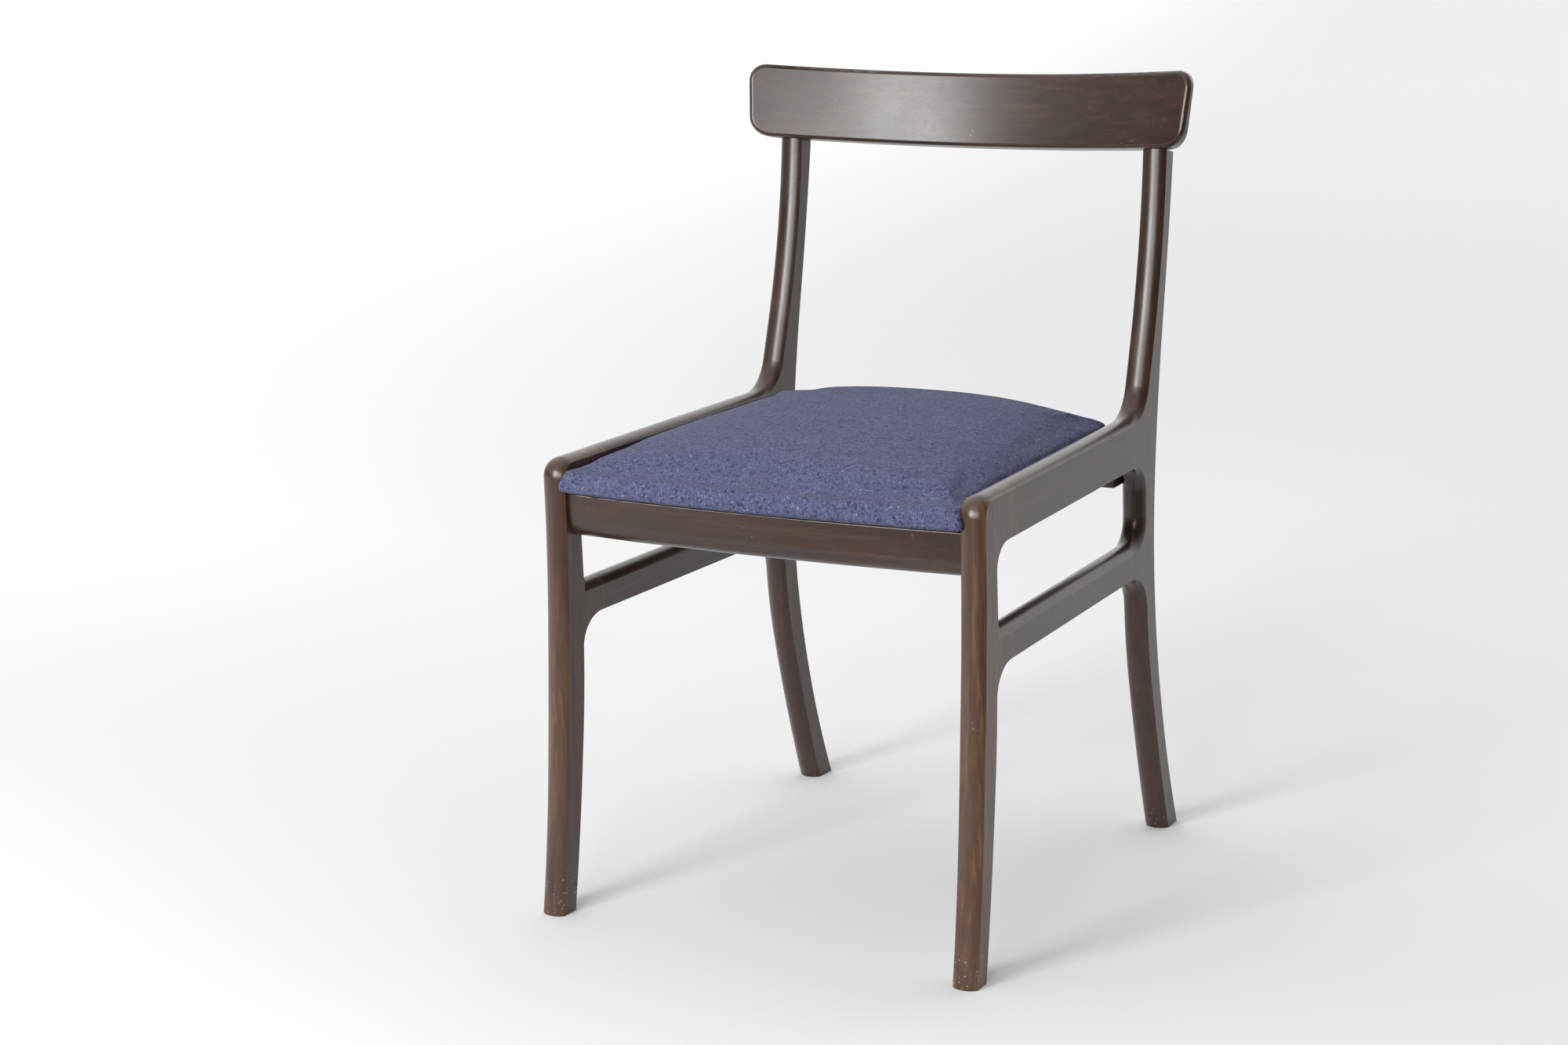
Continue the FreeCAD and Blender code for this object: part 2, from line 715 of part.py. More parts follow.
# Webbing over the frame, lengthwise straps below and crosswise straps above
strapArea = coverThickness + webInset
lengthStraps = []
for i in range(lengthwiseWebs):
    x = (i - (lengthwiseWebs - 1) / 2) * webPitch
    strap = box(x - webWidth / 2, x + webWidth / 2, -beyond, beyond, seatFrameTopZ, seatFrameTopZ + webThickness)
    lengthStraps.append(strap.common(seatSolid(strapArea, seatFrameTopZ, seatFrameTopZ + 5)))
crossStraps = []
crossZ = seatFrameTopZ + webThickness
for i in range(crosswiseWebs):
    y = webMiddleY + (i - (crosswiseWebs - 1) / 2) * webPitch
    strap = box(-beyond, beyond, y - webWidth / 2, y + webWidth / 2, crossZ, crossZ + webThickness)
    crossStraps.append(strap.common(seatSolid(strapArea, crossZ, crossZ + 5)))

# Crowned pad: rolled over the front edge, full in the middle, lower along the sides
padBaseZ = seatFrameTopZ + 2 * webThickness
padTopZ = padFrontZ + padFrontRise + padCrown


def padHeight(x, y):
    fromFront = y - seatFrontY + seatFrontBow
    fromRear = max(seatRearY - y, 0)
    across = 1 - min(abs(x) / innerFaceX(y), 1) ** padSidePower
    frontRoll = 1 - math.exp(-max(fromFront, 0) / padFrontRoll)
    crownRoll = 1 - math.exp(-max(fromFront, 0) / padCrownRoll)
    rearRoll = 1 - math.exp(-fromRear / padRearRoll)
    crown = padCrown * crownRoll * (padRearShare + (1 - padRearShare) * rearRoll)
    return padFrontZ + padFrontRise * frontRoll + crown * across


def overPad(lift):
    # everything above the crowned top
    rows = []
    front = seatFrontY - seatFrontBow
    rear = seatRearY
    for i in range(padRows + 1):
        y = front + (rear - front) * i / padRows
        side = innerFaceX(y)
        xs = [side * (2 * j / padColumns - 1) for j in range(padColumns + 1)]
        rows.append([Vec(x * 1.03, y, padHeight(x, y) + lift) for x in xs])
    rows[0] = [v - Vec(0, 5, 0) for v in rows[0]]
    rows[-1] = [v + Vec(0, 5, 0) for v in rows[-1]]
    surface = Part.BSplineSurface()
    surface.interpolate(rows)
    return surface.toShape().extrude(Vec(0, 0, 90))


def cushion(inset, low, lift):
    body = seatSolid(inset, low, padTopZ + 15)
    return body.cut(overPad(lift))


pad = cushion(coverThickness, padBaseZ, 0)
coverOuter = cushion(0, crossRailTopZ, coverThickness)
coverInner = cushion(coverThickness, seatFrameZ, 0)
coverHole = seatSolid(coverThickness + linedEdge, crossRailTopZ - 1, seatFrameZ + 1)
cover = coverOuter.cut(coverInner).cut(coverHole)
for lift in seatScrews:
    cover = cover.cut(lift).cut(mirrored(lift))
lining = seatSolid(coverThickness + linedEdge, seatFrameZ - liningThickness, seatFrameZ)
for lift in seatScrews:
    lining = lining.cut(lift).cut(mirrored(lift))

pairs = {
    "front_leg": frontLegRight,
    "rear_leg": rearLegRight,
    "side_rail": sideRailRight,
    "side_stretcher": stretcherRight,
    "corner_block_front": blocks["front"],
    "corner_block_rear": blocks["rear"],
    "seat_frame_side": sideMember,
}
for name, shape in pairs.items():
    save(shape, name + "_right")
    save(mirrored(shape), name + "_left")


def bothHands(shapes):
    return Part.makeCompound([s for s in shapes] + [mirrored(s) for s in shapes])


save(crest, "crest_rail")
save(frontRail, "front_rail")
save(rearRail, "rear_rail")
save(bothHands(frontDowels), "front_rail_dowels")
save(bothHands(rearDowels), "rear_rail_dowels")
save(bothHands(seatScrews), "seat_screws")
save(bothHands(railScrews), "block_screws")
save(frontMember, "seat_frame_front")
save(rearMember, "seat_frame_rear")
save(Part.makeCompound(lengthStraps), "webbing_lengthwise")
save(Part.makeCompound(crossStraps), "webbing_crosswise")
save(pad, "seat_pad")
save(cover, "seat_cover")
save(lining, "seat_lining")
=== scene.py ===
import math

import bmesh
import bpy
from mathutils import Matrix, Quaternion, Vector, noise
from mathutils.bvhtree import BVHTree


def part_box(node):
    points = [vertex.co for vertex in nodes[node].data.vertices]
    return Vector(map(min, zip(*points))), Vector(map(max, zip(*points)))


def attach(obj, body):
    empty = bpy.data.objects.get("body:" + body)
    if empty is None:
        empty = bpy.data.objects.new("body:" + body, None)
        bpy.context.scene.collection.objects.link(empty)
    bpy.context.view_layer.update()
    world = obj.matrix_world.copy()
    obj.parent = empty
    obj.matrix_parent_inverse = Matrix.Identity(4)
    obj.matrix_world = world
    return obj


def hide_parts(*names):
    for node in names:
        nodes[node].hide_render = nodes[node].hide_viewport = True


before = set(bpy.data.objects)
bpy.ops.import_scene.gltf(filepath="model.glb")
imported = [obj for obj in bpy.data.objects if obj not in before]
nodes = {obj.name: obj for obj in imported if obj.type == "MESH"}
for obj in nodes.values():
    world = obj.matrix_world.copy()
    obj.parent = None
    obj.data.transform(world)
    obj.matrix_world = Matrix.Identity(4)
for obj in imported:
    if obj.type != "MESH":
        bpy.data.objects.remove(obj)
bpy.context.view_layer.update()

mm = 0.001


def addObject(name, data):
    piece = bpy.data.objects.new(name, data)
    bpy.context.scene.collection.objects.link(piece)
    return piece


# Camera at the photo's place: a long lens, from the right and a little above
photoCamera = {
    "place": (1.4756, -2.7030, 1.1138),
    "azimuth": 30.444,
    "elevation": 13.54,
    "roll": -2.073,
    "lens": 70.27,
    "sensor": 36.0,
}


def makeCamera(v):
    data = bpy.data.cameras.new("photoCamera")
    data.lens = v["lens"]
    data.sensor_width = v["sensor"]
    data.clip_end = 200
    cam = addObject("photoCamera", data)
    a = math.radians(v["azimuth"])
    e = math.radians(v["elevation"])
    back = Vector((math.sin(a) * math.cos(e), -math.cos(a) * math.cos(e), math.sin(e)))
    cam.rotation_mode = "QUATERNION"
    aim = (-back).to_track_quat("-Z", "Y")
    cam.rotation_quaternion = aim @ Quaternion((0, 0, 1), math.radians(v["roll"]))
    cam.location = v["place"]
    bpy.context.scene.camera = cam


makeCamera(photoCamera)
bpy.context.scene.view_settings.view_transform = "Standard"
print("camera placed")


# Node helpers
def put(tree, kind, **values):
    node = tree.nodes.new(kind)
    for key, value in values.items():
        setattr(node, key, value)
    return node


def feed(tree, node, socket, source):
    # a socket takes either another socket or a plain value
    if isinstance(source, bpy.types.NodeSocket):
        tree.links.new(source, node.inputs[socket])
    elif source is not None:
        node.inputs[socket].default_value = source


def maths(tree, how, a, b=None, clamp=False):
    node = put(tree, "ShaderNodeMath", operation=how, use_clamp=clamp)
    feed(tree, node, 0, a)
    feed(tree, node, 1, b)
    return node.outputs[0]


def mixed(tree, how, factor, a, b):
    node = put(tree, "ShaderNodeMix", data_type="RGBA", blend_type=how)
    feed(tree, node, 0, factor)
    feed(tree, node, 6, a)
    feed(tree, node, 7, b)
    return node.outputs[2]


def ramp(tree, source, low, high, fromValue=0.0, toValue=1.0):
    node = put(tree, "ShaderNodeMapRange", interpolation_type="SMOOTHSTEP")
    feed(tree, node, 0, source)
    feed(tree, node, 1, low)
    feed(tree, node, 2, high)
    feed(tree, node, 3, fromValue)
    feed(tree, node, 4, toValue)
    return node.outputs[0]


def stretched(tree, vector, scale):
    # a larger number on an axis makes the pattern finer along it
    node = put(tree, "ShaderNodeVectorMath", operation="MULTIPLY")
    feed(tree, node, 0, vector)
    feed(tree, node, 1, scale)
    return node.outputs[0]


def clouds(tree, vector, scale, detail=3.0, rough=0.55, distortion=0.0):
    node = put(tree, "ShaderNodeTexNoise")
    feed(tree, node, "Vector", vector)
    feed(tree, node, "Scale", scale)
    feed(tree, node, "Detail", detail)
    feed(tree, node, "Roughness", rough)
    feed(tree, node, "Distortion", distortion)
    return node.outputs["Fac"]


def newGroup(name, inputs, outputs):
    tree = bpy.data.node_groups.new(name, "ShaderNodeTree")
    for label, kind, value in inputs:
        socket = tree.interface.new_socket(label, in_out="INPUT", socket_type=kind)
        if value is not None:
            socket.default_value = value
    for label, kind in outputs:
        tree.interface.new_socket(label, in_out="OUTPUT", socket_type=kind)
    return tree, tree.nodes.new("NodeGroupInput"), tree.nodes.new("NodeGroupOutput")


def placeGroup(tree, group, **values):
    node = tree.nodes.new("ShaderNodeGroup")
    node.node_tree = group
    for key, value in values.items():
        feed(tree, node, key, value)
    return node


# Kinds of group socket
number = "NodeSocketFloat"
arrow = "NodeSocketVector"
paint = "NodeSocketColor"


# Wood figure: soft streaks, darker bands and fine pores, all drawn out along the local Z axis
def makeWoodFigure():
    inputs = [
        ("Vector", arrow, None),
        ("Dark", paint, (0.03, 0.018, 0.013, 1)),
        ("Middle", paint, (0.06, 0.035, 0.024, 1)),
        ("Warm", paint, (0.12, 0.06, 0.03, 1)),
        ("Warmth", number, 0.5),
    ]
    outputs = [("Color", paint), ("Pores", number), ("Height", number)]
    tree, start, end = newGroup("woodFigure", inputs, outputs)
    vector = start.outputs["Vector"]
    slow = clouds(tree, stretched(tree, vector, (22, 22, 1.6)), 1.0, 5.0, 0.6, 0.6)
    streaks = clouds(tree, stretched(tree, vector, (150, 150, 4.5)), 1.0, 4.0, 0.65, 0.3)
    fine = clouds(tree, stretched(tree, vector, (700, 700, 22)), 1.0, 2.0, 0.6)
    poreField = clouds(tree, stretched(tree, vector, (1900, 1900, 70)), 1.0, 1.0, 0.5)
    pores = ramp(tree, poreField, 0.60, 0.72)
    bands = ramp(tree, slow, 0.34, 0.68)
    body = mixed(tree, "MIX", bands, start.outputs["Dark"], start.outputs["Middle"])
    warmStreaks = ramp(tree, streaks, 0.48, 0.78)
    warmMask = maths(tree, "MULTIPLY", warmStreaks, ramp(tree, slow, 0.40, 0.66))
    warmMask = maths(tree, "MULTIPLY", warmMask, start.outputs["Warmth"])
    body = mixed(tree, "MIX", warmMask, body, start.outputs["Warm"])
    shade = ramp(tree, streaks, 0.30, 0.70, 0.80, 1.14)
    body = mixed(tree, "MULTIPLY", 1.0, body, shade)
    body = mixed(tree, "MULTIPLY", 1.0, body, ramp(tree, fine, 0.30, 0.72, 0.88, 1.10))
    body = mixed(tree, "MULTIPLY", 1.0, body, ramp(tree, pores, 0.0, 1.0, 1.0, 0.70))
    feed(tree, end, "Color", body)
    feed(tree, end, "Pores", pores)
    ridges = maths(tree, "MULTIPLY", streaks, 0.35)
    pits = maths(tree, "MULTIPLY", pores, 0.5)
    feed(tree, end, "Height", maths(tree, "SUBTRACT", ridges, pits))
    return tree


# Worn arrises: where the true normal and one eased over about a millimetre differ
def makeEdgeWear():
    inputs = [("Vector", arrow, None), ("Reach", number, 0.0012), ("Amount", number, 1.0)]
    outputs = [("Mask", number), ("Normal", arrow)]
    tree, start, end = newGroup("edgeWear", inputs, outputs)
    eased = put(tree, "ShaderNodeBevel", samples=6)
    feed(tree, eased, "Radius", start.outputs["Reach"])
    true = put(tree, "ShaderNodeNewGeometry")
    dot = put(tree, "ShaderNodeVectorMath", operation="DOT_PRODUCT")
    feed(tree, dot, 0, eased.outputs[0])
    feed(tree, dot, 1, true.outputs["True Normal"])
    bend = maths(tree, "SUBTRACT", 1.0, dot.outputs["Value"])
    patches = clouds(tree, start.outputs["Vector"], 55.0, 4.0, 0.7)
    mask = maths(tree, "MULTIPLY", ramp(tree, bend, 0.015, 0.16), ramp(tree, patches, 0.42, 0.66))
    feed(tree, end, "Mask", maths(tree, "MULTIPLY", mask, start.outputs["Amount"], clamp=True))
    feed(tree, end, "Normal", eased.outputs[0])
    return tree


# Light scuffs: short thin scratches in two directions, in more places where Density is high
def makeScuffs():
    inputs = [("Vector", arrow, None), ("Density", number, 0.3)]
    outputs = [("Mask", number)]
    tree, start, end = newGroup("scuffs", inputs, outputs)
    vector = start.outputs["Vector"]
    slanted = put(tree, "ShaderNodeVectorRotate", rotation_type="EULER_XYZ")
    feed(tree, slanted, "Vector", vector)
    slanted.inputs["Rotation"].default_value = (0.5, 0.9, 0.4)
    one = clouds(tree, stretched(tree, slanted.outputs[0], (420, 60, 420)), 1.0, 1.0, 0.5)
    turned = put(tree, "ShaderNodeVectorRotate", rotation_type="EULER_XYZ")
    feed(tree, turned, "Vector", vector)
    turned.inputs["Rotation"].default_value = (-0.7, 0.3, 1.3)
    two = clouds(tree, stretched(tree, turned.outputs[0], (60, 480, 480)), 1.0, 1.0, 0.5)
    lines = maths(tree, "MAXIMUM", ramp(tree, one, 0.70, 0.76), ramp(tree, two, 0.70, 0.76))
    where = clouds(tree, vector, 26.0, 3.0, 0.6)
    limit = maths(tree, "SUBTRACT", 0.86, maths(tree, "MULTIPLY", start.outputs["Density"], 0.4))
    field = ramp(tree, where, maths(tree, "SUBTRACT", limit, 0.1), limit)
    feed(tree, end, "Mask", maths(tree, "MULTIPLY", lines, field, clamp=True))
    return tree


# Wool cloth: mixed dark and pale fibres over a fine close weave
def makeWoolCloth():
    inputs = [
        ("Vector", arrow, None),
        ("Deep", paint, (0.04, 0.045, 0.09, 1)),
        ("Middle", paint, (0.13, 0.14, 0.23, 1)),
        ("Pale", paint, (0.32, 0.33, 0.44, 1)),
        ("Thread", number, 850.0),
    ]
    outputs = [("Color", paint), ("Height", number)]
    tree, start, end = newGroup("woolCloth", inputs, outputs)
    vector = start.outputs["Vector"]
    coarse = clouds(tree, vector, 260.0, 3.0, 0.75, 0.4)
    specks = clouds(tree, stretched(tree, vector, (1.0, 1.4, 1.0)), 430.0, 3.0, 0.75, 0.6)
    slow = clouds(tree, vector, 60.0, 3.0, 0.6)
    deepMask = ramp(tree, coarse, 0.52, 0.36)
    paleMask = ramp(tree, specks, 0.54, 0.70)
    deepShare = maths(tree, "MULTIPLY", deepMask, 0.75)
    body = mixed(tree, "MIX", deepShare, start.outputs["Middle"], start.outputs["Deep"])
    paleShare = maths(tree, "MULTIPLY", paleMask, 0.8)
    body = mixed(tree, "MIX", paleShare, body, start.outputs["Pale"])
    body = mixed(tree, "MULTIPLY", 1.0, body, ramp(tree, slow, 0.3, 0.7, 0.93, 1.07))
    scaled = put(tree, "ShaderNodeVectorMath", operation="SCALE")
    feed(tree, scaled, 0, vector)
    feed(tree, scaled, "Scale", start.outputs["Thread"])
    apart = put(tree, "ShaderNodeSeparateXYZ")
    feed(tree, apart, 0, scaled.outputs[0])
    warp = maths(tree, "SINE", apart.outputs[0])
    weft = maths(tree, "SINE", maths(tree, "ADD", apart.outputs[1], apart.outputs[2]))
    cloth = maths(tree, "MULTIPLY", warp, weft)
    fuzz = clouds(tree, vector, 1600.0, 2.0, 0.8)
    threads = maths(tree, "MULTIPLY", cloth, 0.25)
    feed(tree, end, "Color", body)
    feed(tree, end, "Height", maths(tree, "ADD", threads, maths(tree, "ADD", fuzz, coarse)))
    return tree


woodFigure = makeWoodFigure()
edgeWear = makeEdgeWear()
scuffs = makeScuffs()
woolCloth = makeWoolCloth()
print("shared effects made")


# Materials
def newMaterial(name):
    material = bpy.data.materials.new(name)
    material.use_nodes = True
    tree = material.node_tree
    shader = tree.nodes["Principled BSDF"]
    place = put(tree, "ShaderNodeTexCoord")
    return material, tree, shader, place.outputs["Object"]


def bumped(tree, shader, height, strength, distance, normal=None):
    bump = put(tree, "ShaderNodeBump")
    bump.inputs["Strength"].default_value = strength
    bump.inputs["Distance"].default_value = distance
    feed(tree, bump, "Height", height)
    feed(tree, bump, "Normal", normal)
    feed(tree, shader, "Normal", bump.outputs[0])


def turnedAlong(tree, vector, turn, shift):
    # brings the grain of the member onto the local Z axis, and gives each member its own figure
    node = put(tree, "ShaderNodeMapping")
    feed(tree, node, "Vector", vector)
    node.inputs["Rotation"].default_value = turn
    node.inputs["Location"].default_value = shift
    return node.outputs[0]


# Stained and lacquered wood
woodFinish = {
    "roughness": 0.295,
    "specular": 0.50,
    "coat": 0.20,
    "coatRoughness": 0.26,
    "arris": 0.9 * mm,
    "worn": (0.19, 0.085, 0.038, 1),
    "wear": 0.75,
    "scuff": (0.36, 0.29, 0.23, 1),
    "footTop": (12 * mm, 48 * mm),
    "grainBump": 0.07,
    "grainDepth": 0.3 * mm,
}

# Three colours for each kind of wood or cloth: the dark, the middle and the light ones
darkTone = (0.028, 0.0122, 0.0072, 1), (0.043, 0.0196, 0.0112, 1), (0.092, 0.043, 0.0205, 1)
warmTone = (0.043, 0.0185, 0.0090, 1), (0.086, 0.0400, 0.0190, 1), (0.170, 0.078, 0.0300, 1)
blockTone = (0.20, 0.12, 0.065, 1), (0.32, 0.20, 0.11, 1), (0.40, 0.24, 0.13, 1)
beechTone = (0.38, 0.26, 0.155, 1), (0.50, 0.36, 0.22, 1), (0.56, 0.38, 0.23, 1)
blackTone = (0.008, 0.008, 0.009, 1), (0.018, 0.018, 0.020, 1), (0.035, 0.035, 0.038, 1)
juteTone = (0.20, 0.13, 0.07, 1), (0.34, 0.25, 0.15, 1), (0.50, 0.40, 0.27, 1)

# Turns that lay the grain along a member
alongZ = (0, 0, 0)
alongY = (math.pi / 2, 0, 0)
alongX = (0, math.pi / 2, 0)


def woodIn(tree, place, tone, turn, shift, warmth):
    dark, middle, warm = tone
    grainPlace = turnedAlong(tree, place, turn, shift)
    return placeGroup(
        tree, woodFigure, Vector=grainPlace, Dark=dark, Middle=middle, Warm=warm, Warmth=warmth
    )


def stainedWood(name, tone, turn, shift, warmth, scuffDensity, footScuffs=0.0):
    v = woodFinish
    material, tree, shader, place = newMaterial(name)
    figure = woodIn(tree, place, tone, turn, shift, warmth)
    wear = placeGroup(tree, edgeWear, Vector=place, Reach=v["arris"], Amount=v["wear"])
    density = scuffDensity
    if footScuffs:
        apart = put(tree, "ShaderNodeSeparateXYZ")
        feed(tree, apart, 0, place)
        density = ramp(tree, apart.outputs[2], *v["footTop"], footScuffs, scuffDensity)
    marks = placeGroup(tree, scuffs, Vector=place, Density=density)
    body = mixed(tree, "MIX", wear.outputs["Mask"], figure.outputs["Color"], v["worn"])
    body = mixed(tree, "MIX", marks.outputs["Mask"], body, v["scuff"])
    feed(tree, shader, "Base Color", body)
    uneven = clouds(tree, place, 14.0, 4.0, 0.65)
    rough = ramp(tree, uneven, 0.30, 0.70, v["roughness"] - 0.02, v["roughness"] + 0.03)
    rough = maths(tree, "ADD", rough, maths(tree, "MULTIPLY", figure.outputs["Pores"], 0.12))
    feed(tree, shader, "Roughness", rough)
    shader.inputs["Specular IOR Level"].default_value = v["specular"]
    shader.inputs["Coat Weight"].default_value = v["coat"]
    shader.inputs["Coat Roughness"].default_value = v["coatRoughness"]
    height = figure.outputs["Height"]
    bumped(tree, shader, height, v["grainBump"], v["grainDepth"], wear.outputs["Normal"])
    return material


def bareWood(name, tone, turn):
    material, tree, shader, place = newMaterial(name)
    figure = woodIn(tree, place, tone, turn, (0, 0, 0), 0.5)
    feed(tree, shader, "Base Color", figure.outputs["Color"])
    shader.inputs["Roughness"].default_value = 0.68
    bumped(tree, shader, figure.outputs["Height"], 0.3, 0.4 * mm)
    return material


def clothIn(tree, place, tone, thread):
    deep, middle, pale = tone
    return placeGroup(
        tree, woolCloth, Vector=place, Deep=deep, Middle=middle, Pale=pale, Thread=thread
    )


# Wool of the seat cover
woolFinish = {
    "tone": ((0.018, 0.019, 0.048, 1), (0.082, 0.087, 0.168, 1), (0.275, 0.280, 0.385, 1)),
    "thread": 2600.0,
    "roughness": 0.92,
    "specular": 0.12,
    "sheen": 0.04,
    "sheenRoughness": 0.55,
    "weaveBump": 0.55,
    "weaveDepth": 0.6 * mm,
}


def woolFabric(name, v):
    material, tree, shader, place = newMaterial(name)
    cloth = clothIn(tree, place, v["tone"], v["thread"])
    feed(tree, shader, "Base Color", cloth.outputs["Color"])
    shader.inputs["Roughness"].default_value = v["roughness"]
    shader.inputs["Specular IOR Level"].default_value = v["specular"]
    shader.inputs["Sheen Weight"].default_value = v["sheen"]
    shader.inputs["Sheen Roughness"].default_value = v["sheenRoughness"]
    bumped(tree, shader, cloth.outputs["Height"], v["weaveBump"], v["weaveDepth"])
    return material


def plainCloth(name, tone, thread):
    material, tree, shader, place = newMaterial(name)
    cloth = clothIn(tree, place, tone, thread)
    feed(tree, shader, "Base Color", cloth.outputs["Color"])
    shader.inputs["Roughness"].default_value = 0.9
    bumped(tree, shader, cloth.outputs["Height"], 0.5, 0.4 * mm)
    return material


def steel(name):
    material, tree, shader, place = newMaterial(name)
    shader.inputs["Base Color"].default_value = (0.42, 0.40, 0.37, 1)
    shader.inputs["Metallic"].default_value = 1.0
    rough = ramp(tree, clouds(tree, place, 300.0, 3.0, 0.6), 0.3, 0.7, 0.28, 0.48)
    feed(tree, shader, "Roughness", rough)
    return material


legWoodLeft = stainedWood("legWoodLeft", warmTone, alongZ, (0.3, 0.1, 0), 0.85, 0.28, 2.1)
legWoodRight = stainedWood("legWoodRight", warmTone, alongZ, (0.7, 0.5, 0.2), 0.95, 0.28, 2.1)
postWoodLeft = stainedWood("postWoodLeft", darkTone, alongZ, (1.3, 0.2, 0.4), 0.55, 0.34, 0.9)
postWoodRight = stainedWood("postWoodRight", darkTone, alongZ, (1.9, 0.8, 0.7), 0.55, 0.34, 0.9)
sideRailWood = stainedWood("sideRailWood", darkTone, alongY, (0.9, 0.3, 0), 0.5, 0.25)
stretcherWood = stainedWood("stretcherWood", darkTone, alongY, (0.2, 1.3, 0), 0.5, 0.2)
crossRailWood = stainedWood("crossRailWood", darkTone, alongX, (0.4, 0.9, 0), 0.95, 0.35)
crestWood = stainedWood("crestWood", darkTone, alongX, (1.4, 0.1, 0.6), 0.6, 0.30)
blockWood = bareWood("blockWood", blockTone, alongX)
beechAcross = bareWood("beechAcross", beechTone, alongX)
beechAlong = bareWood("beechAlong", beechTone, alongY)
seatWool = woolFabric("seatWool", woolFinish)
liningCloth = plainCloth("liningCloth", blackTone, 3200.0)
juteCloth = plainCloth("juteCloth", juteTone, 1500.0)
screwSteel = steel("screwSteel")

nodeMaterials = {
    "front_leg_left": legWoodLeft,
    "front_leg_right": legWoodRight,
    "rear_leg_left": postWoodLeft,
    "rear_leg_right": postWoodRight,
    "side_rail_left": sideRailWood,
    "side_rail_right": sideRailWood,
    "side_stretcher_left": stretcherWood,
    "side_stretcher_right": stretcherWood,
    "front_rail": crossRailWood,
    "rear_rail": crossRailWood,
    "crest_rail": crestWood,
    "corner_block_front_left": blockWood,
    "corner_block_front_right": blockWood,
    "corner_block_rear_left": blockWood,
    "corner_block_rear_right": blockWood,
    "front_rail_dowels": beechAcross,
    "rear_rail_dowels": beechAcross,
    "seat_frame_front": beechAcross,
    "seat_frame_rear": beechAcross,
    "seat_frame_side_left": beechAlong,
    "seat_frame_side_right": beechAlong,
    "block_screws": screwSteel,
    "seat_screws": screwSteel,
    "webbing_lengthwise": juteCloth,
    "webbing_crosswise": juteCloth,
}
for nodeName, material in nodeMaterials.items():
    nodes[nodeName].data.materials.clear()
    nodes[nodeName].data.materials.append(material)
print("materials made and laid on the wooden pieces")


# Seat: an upholstered cushion over the loose frame
coverLow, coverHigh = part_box("seat_cover")
seat = {
    # the plan and the crown
    "bow": 8.0 * mm,
    "slope": math.tan(math.radians(2.1)),
    "frontZ": 456.0 * mm,
    "frontRise": 10.0 * mm,
    "frontRoll": 34.0 * mm,
    "crown": 25.0 * mm,
    "crownRoll": 80.0 * mm,
    "rearShare": 0.68,
    "rearRoll": 40.0 * mm,
    "sidePower": 2.6,
    "margin": 22.0 * mm,
    # the mesh, and how it is blown up
    "across": 88,
    "along": 80,
    "startIn": 2.0 * mm,
    "startOver": 60.0 * mm,
    "voxel": 4.5 * mm,
    "pressure": 4.0,
    "frames": 20,
    "puff": 5.0 * mm,
    "tackedOver": 14.0 * mm,
    "tackedFull": 1.4,
    "quickRise": (0.445, 0.01),
    # the swell of the wall, as shares of its height, and of the two front corners
    "frontSwell": 3.2 * mm,
    "frontReach": 12.0 * mm,
    "swellBy": 0.14,
    "swellHolds": 0.4,
    "swellLoss": 0.72,
    "cornerSwell": 9.0 * mm,
    "cornerReach": 26.0 * mm,
    "cornerPower": 1.3,
    "cornerOut": (0.9, 0.3),
    # the lie round the seat frame
    "frameIn": 1.2 * mm,
    "overFrame": 2.2 * mm,
    "overLowerEdge": 0.9 * mm,
    "reachFrom": 2.0 * mm,
    "reachOver": 9.0 * mm,
    "fanCore": 8.0 * mm,
    "halvings": 18,
    "eases": 5,
    # the underside and the wood around
    "bedGap": 0.05 * mm,
    "lipBand": 1.2 * mm,
    "lipOut": 1.3 * mm,
    "hollowBand": 6.0 * mm,
    "hollowRise": 1.9 * mm,
    "gapToWood": 0.25 * mm,
    "woodWithin": 15.0 * mm,
}


def seatHalfWidth(y):
    return coverHigh.x - (y - coverLow.y - seat["bow"]) * seat["slope"]


def seatFrontY(x):
    return coverLow.y + seat["bow"] * min(abs(x) / coverHigh.x, 1) ** 2


def seatHeight(x, y):
    v = seat
    fromFront = max(y - coverLow.y, 0)
    fromRear = max(coverHigh.y - y, 0)
    across = 1 - min(abs(x) / (seatHalfWidth(y) + 2 * mm), 1) ** v["sidePower"]
    frontRoll = 1 - math.exp(-fromFront / v["frontRoll"])
    crownRoll = 1 - math.exp(-fromFront / v["crownRoll"])
    rearRoll = 1 - math.exp(-fromRear / v["rearRoll"])
    crown = v["crown"] * crownRoll * (v["rearShare"] + (1 - v["rearShare"]) * rearRoll)
    return v["frontZ"] + v["frontRise"] * frontRoll + crown * across


def seatPoint(u, w, inset):
    # u runs across from -1 to 1, w from the front edge to the rear one
    frontY = seatFrontY(u * coverHigh.x) + inset
    y = frontY + (coverHigh.y - inset - frontY) * w
    return Vector((u * (seatHalfWidth(y) - inset), y, 0))


def meshObject(name, mesh):
    data = bpy.data.meshes.new(name)
    mesh.to_mesh(data)
    mesh.free()
    return addObject(name, data)


